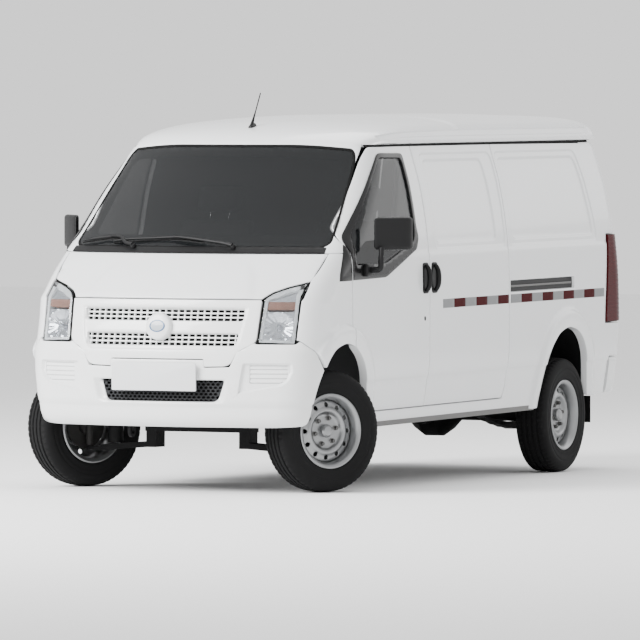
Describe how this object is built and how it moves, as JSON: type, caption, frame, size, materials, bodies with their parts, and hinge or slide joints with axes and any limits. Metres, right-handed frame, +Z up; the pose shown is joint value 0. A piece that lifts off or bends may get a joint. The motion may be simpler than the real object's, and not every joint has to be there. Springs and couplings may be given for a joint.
{
  "type": "minivan",
  "caption": "Light cargo van with hollow cab and load space, hinged front doors, hood and tailgate, steered front wheels and rolling tyres.",
  "frame": {"origin": "middle of the van's bounding box, on the ground under the tyres", "axes": "+Y towards the rear, +X towards the van's left side, +Z up"},
  "size_m": [2.024, 4.4744, 2.0608],
  "materials": {
    "white_paint": "gloss",
    "white_plastic": "gloss",
    "black_plastic": "satin",
    "black_rubber": "matte",
    "black_chassis": "satin",
    "grey_floor": "satin",
    "cast_iron": "matte",
    "exhaust_steel": "satin",
    "seat_fabric": "matte",
    "glass": "gloss",
    "lamp_clear": "gloss",
    "lamp_red": "gloss",
    "tyre_rubber": "matte",
    "wheel_silver": "satin"
  },
  "bodies": {
    "van_body": {"roof": "white_paint", "side_panel_left": "white_paint", "side_panel_right": "white_paint", "floor_pan": "grey_floor", "underframe": "black_chassis", "windscreen_frame": "white_paint", "windscreen": "glass", "fender_left": "white_paint", "fender_right": "white_paint", "grille": "white_plastic", "front_bumper": "white_plastic", "headlights": "lamp_clear", "sliding_door_left": "white_paint", "sliding_door_right": "white_paint", "rear_bumper": "white_plastic", "tail_lights": "lamp_red", "dashboard": "black_plastic", "seats": "seat_fabric", "wipers": "black_plastic", "antenna": "black_plastic", "engine": "cast_iron", "front_suspension": "black_chassis", "rear_axle": "black_chassis", "leaf_springs": "black_chassis", "propeller_shaft": "black_chassis", "exhaust": "exhaust_steel", "fuel_tank": "black_chassis", "mud_flaps": "black_rubber"},
    "door_left": {"front_door_left": "white_paint", "door_glass_left": "glass", "mirror_left": "black_plastic"},
    "door_right": {"front_door_right": "white_paint", "door_glass_right": "glass", "mirror_right": "black_plastic"},
    "tailgate": {"tailgate": "white_paint", "tailgate_glass": "glass"},
    "hood": {"hood": "white_paint"},
    "steering_wheel": {"steering_wheel": "black_plastic"},
    "knuckle_left": {"knuckle_left": "cast_iron"},
    "knuckle_right": {"knuckle_right": "cast_iron"},
    "wheel_front_left": {"tyre_front_left": "tyre_rubber", "rim_front_left": "wheel_silver"},
    "wheel_front_right": {"tyre_front_right": "tyre_rubber", "rim_front_right": "wheel_silver"},
    "wheel_rear_left": {"tyre_rear_left": "tyre_rubber", "rim_rear_left": "wheel_silver"},
    "wheel_rear_right": {"tyre_rear_right": "tyre_rubber", "rim_rear_right": "wheel_silver"}
  },
  "joints": [
    {"name": "steer_left", "type": "hinge", "parent": "van_body", "child": "knuckle_left", "pos_m": [0.655, -1.66, 0.318], "axis": [0, 0, 1], "range_deg": [-6.2, 63.8]},
    {"name": "steer_right", "type": "hinge", "parent": "van_body", "child": "knuckle_right", "pos_m": [-0.655, -1.66, 0.318], "axis": [0, 0, 1], "range_deg": [-6.2, 63.8]},
    {"name": "steering_wheel_turn", "type": "hinge", "parent": "van_body", "child": "steering_wheel", "pos_m": [0.4, -1.30682, 1.11547], "axis": [0, 0.6037, 0.7972], "range_deg": [-112, 1149]},
    {"name": "wheel_front_left_spin", "type": "hinge", "parent": "knuckle_left", "child": "wheel_front_left", "pos_m": [0.69443, -1.68168, 0.318], "axis": [0.8763, -0.4818, 0], "continuous": true},
    {"name": "wheel_front_right_spin", "type": "hinge", "parent": "knuckle_right", "child": "wheel_front_right", "pos_m": [-0.69443, -1.63832, 0.318], "axis": [0.8763, -0.4818, 0], "continuous": true},
    {"name": "wheel_rear_left_spin", "type": "hinge", "parent": "van_body", "child": "wheel_rear_left", "pos_m": [0.7, 1.39, 0.318], "axis": [1, 0, 0], "continuous": true},
    {"name": "wheel_rear_right_spin", "type": "hinge", "parent": "van_body", "child": "wheel_rear_right", "pos_m": [-0.7, 1.39, 0.318], "axis": [1, 0, 0], "continuous": true},
    {"name": "door_left_open", "type": "hinge", "parent": "van_body", "child": "door_left", "pos_m": [0.82, -1.54713, 1.00182], "axis": [0, 0.0151, -0.9999], "range_deg": [0, 65]},
    {"name": "door_right_open", "type": "hinge", "parent": "van_body", "child": "door_right", "pos_m": [-0.82, -1.54713, 1.00182], "axis": [0, -0.0151, 0.9999], "range_deg": [0, 65]},
    {"name": "tailgate_open", "type": "hinge", "parent": "van_body", "child": "tailgate", "pos_m": [0, 2.05641, 1.85338], "axis": [1, 0, 0], "range_deg": [0, 85]},
    {"name": "hood_open", "type": "hinge", "parent": "van_body", "child": "hood", "pos_m": [0, -1.70836, 1.21441], "axis": [-1, 0, 0], "range_deg": [0, 50]}
  ],
  "couplings": [
    {"joint": "steer_right", "follows": "steer_left", "ratio": 1},
    {"joint": "steering_wheel_turn", "follows": "steer_left", "ratio": 18}
  ]
}
